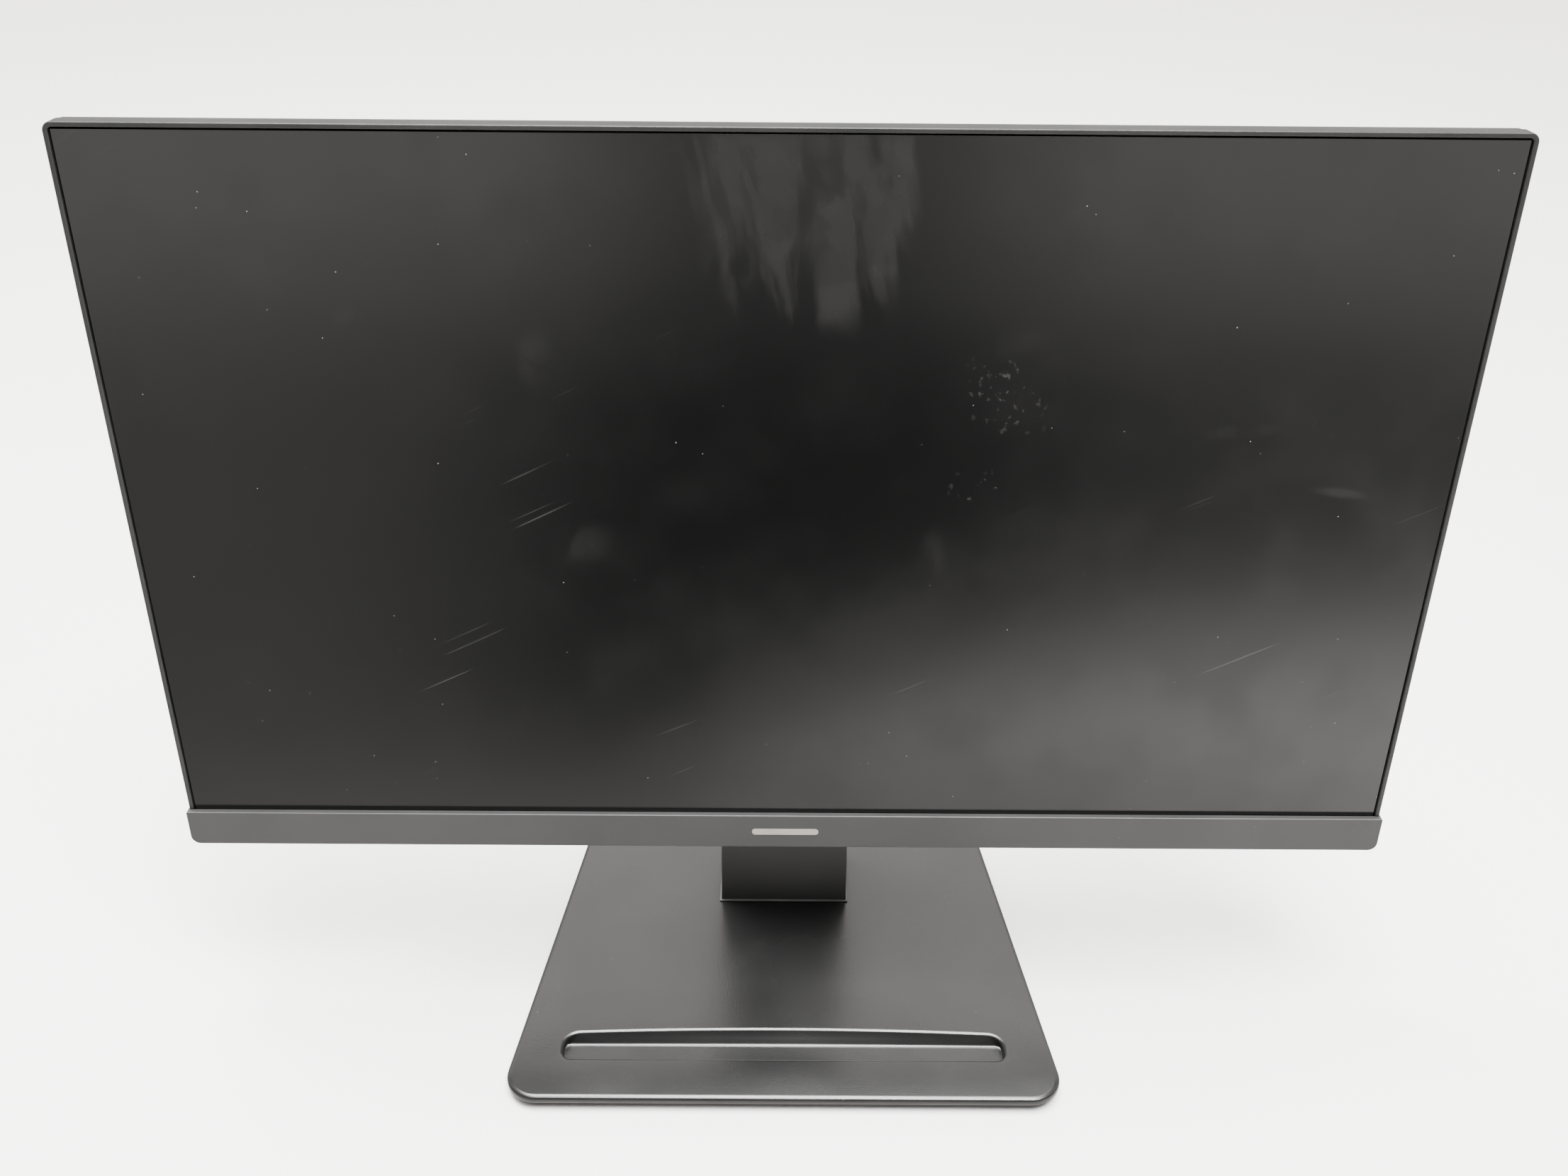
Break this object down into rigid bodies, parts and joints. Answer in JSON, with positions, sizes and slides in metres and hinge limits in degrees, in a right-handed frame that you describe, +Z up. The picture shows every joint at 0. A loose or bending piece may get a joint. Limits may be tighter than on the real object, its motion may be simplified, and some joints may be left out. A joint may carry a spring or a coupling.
{
  "type": "computer monitor",
  "caption": "Flat thin-edged desktop screen on a plain neck and a tapered flat base with a phone slot; the head tilts on a friction hinge.",
  "frame": {"origin": "on the desk under the middle of the base", "axes": "+X to the viewer's right along the screen, +Y away from the viewer, +Z up; the screen faces -Y"},
  "size_m": [0.54, 0.215, 0.4092],
  "materials": {
    "housing_plastic": "fine moulded texture, dark grey",
    "frame_plastic": "coarse moulded texture with a satin edge",
    "rear_plastic": "moulded texture, near black",
    "neck_plastic": "fine moulded texture, near black",
    "base_plastic": "moulded texture, satin on its edges",
    "badge_print": "printed light grey mark",
    "clear_plastic": "clear moulded light guide",
    "screen_glass": "black switched-off panel with a matt anti-glare film",
    "white_film": "white optical film",
    "acrylic": "polished clear acrylic",
    "lamp_strip": "white strip with yellow lamps",
    "black_plastic": "plain black moulding",
    "bare_steel": "zinc-coated sheet steel",
    "black_steel": "black electro-coated steel",
    "circuit_board": "green solder mask",
    "flex_film": "amber film",
    "socket_metal": "nickel-plated sheet",
    "socket_blue": "blue moulding",
    "cable_film": "white flat cable",
    "stick_rubber": "matt black cap",
    "black_screw": "blackened steel",
    "washer_brass": "spring bronze",
    "foot_rubber": "matt rubber"
  },
  "bodies": {
    "stand": {"neck_core": "black_steel", "neck_front_cover": "neck_plastic", "neck_rear_cover": "neck_plastic", "base_cover": "base_plastic", "base_plate": "black_steel", "base_cover_screws": "black_screw", "rubber_feet": "foot_rubber"},
    "head": {"chin_bar": "housing_plastic", "chin_badge": "badge_print", "indicator_lens": "clear_plastic", "front_frame": "frame_plastic", "lcd_cell": "screen_glass", "film_stack": "white_film", "light_guide": "acrylic", "reflector_sheet": "white_film", "led_bar": "lamp_strip", "panel_frame": "black_plastic", "backlight_tray": "bare_steel", "source_board": "circuit_board", "driver_flexes": "flex_film", "rear_cover": "rear_plastic", "chassis_bracket": "bare_steel", "main_board": "circuit_board", "board_shield": "bare_steel", "hdmi_socket": "socket_metal", "vga_socket": "socket_blue", "audio_jack": "black_plastic", "dc_jack": "black_plastic", "panel_cable": "cable_film", "backlight_cable": "cable_film", "nav_cable": "cable_film", "nav_board": "circuit_board", "nav_switch_base": "black_plastic", "lock_plate": "bare_steel", "cover_screws": "black_screw", "hinge_plate": "black_steel", "hinge_plate_screws": "bare_steel", "hinge_shaft": "bare_steel", "hinge_nut": "bare_steel", "friction_washers": "washer_brass"},
    "nav_rocker": {"nav_rocker": "white_film"},
    "nav_lever": {"nav_lever": "black_plastic"},
    "nav_cap": {"nav_cap": "stick_rubber"},
    "base_screw": {"base_screw": "socket_metal"},
    "screw_bail": {"screw_bail": "socket_metal"}
  },
  "joints": [
    {"name": "head_tilt", "type": "hinge", "parent": "stand", "child": "head", "pos_m": [0, 0.037, 0.19933], "axis": [-1, 0, 0], "range_deg": [-10, 15]},
    {"name": "stick_up_down", "type": "hinge", "parent": "head", "child": "nav_rocker", "pos_m": [0.215, -0.01577, 0.12866], "axis": [1, 0, 0], "range_deg": [-8, 8], "stiffness_Nm_per_rad": 0.02},
    {"name": "stick_left_right", "type": "hinge", "parent": "nav_rocker", "child": "nav_lever", "pos_m": [0.215, -0.01577, 0.12866], "axis": [0, 0.0872, 0.9962], "range_deg": [-8, 8], "stiffness_Nm_per_rad": 0.02},
    {"name": "stick_press", "type": "slide", "parent": "nav_lever", "child": "nav_cap", "axis": [0, -0.9962, 0.0872], "range_m": [0, 0.0004], "stiffness_N_per_m": 1500},
    {"name": "hand_screw_turn", "type": "hinge", "parent": "stand", "child": "base_screw", "pos_m": [0, 0.037, 0.01], "axis": [0, 0, 1], "continuous": true},
    {"name": "loop_fold", "type": "hinge", "parent": "base_screw", "child": "screw_bail", "pos_m": [0, 0.037, 0.00325], "axis": [-1, 0, 0], "range_deg": [0, 90]}
  ]
}
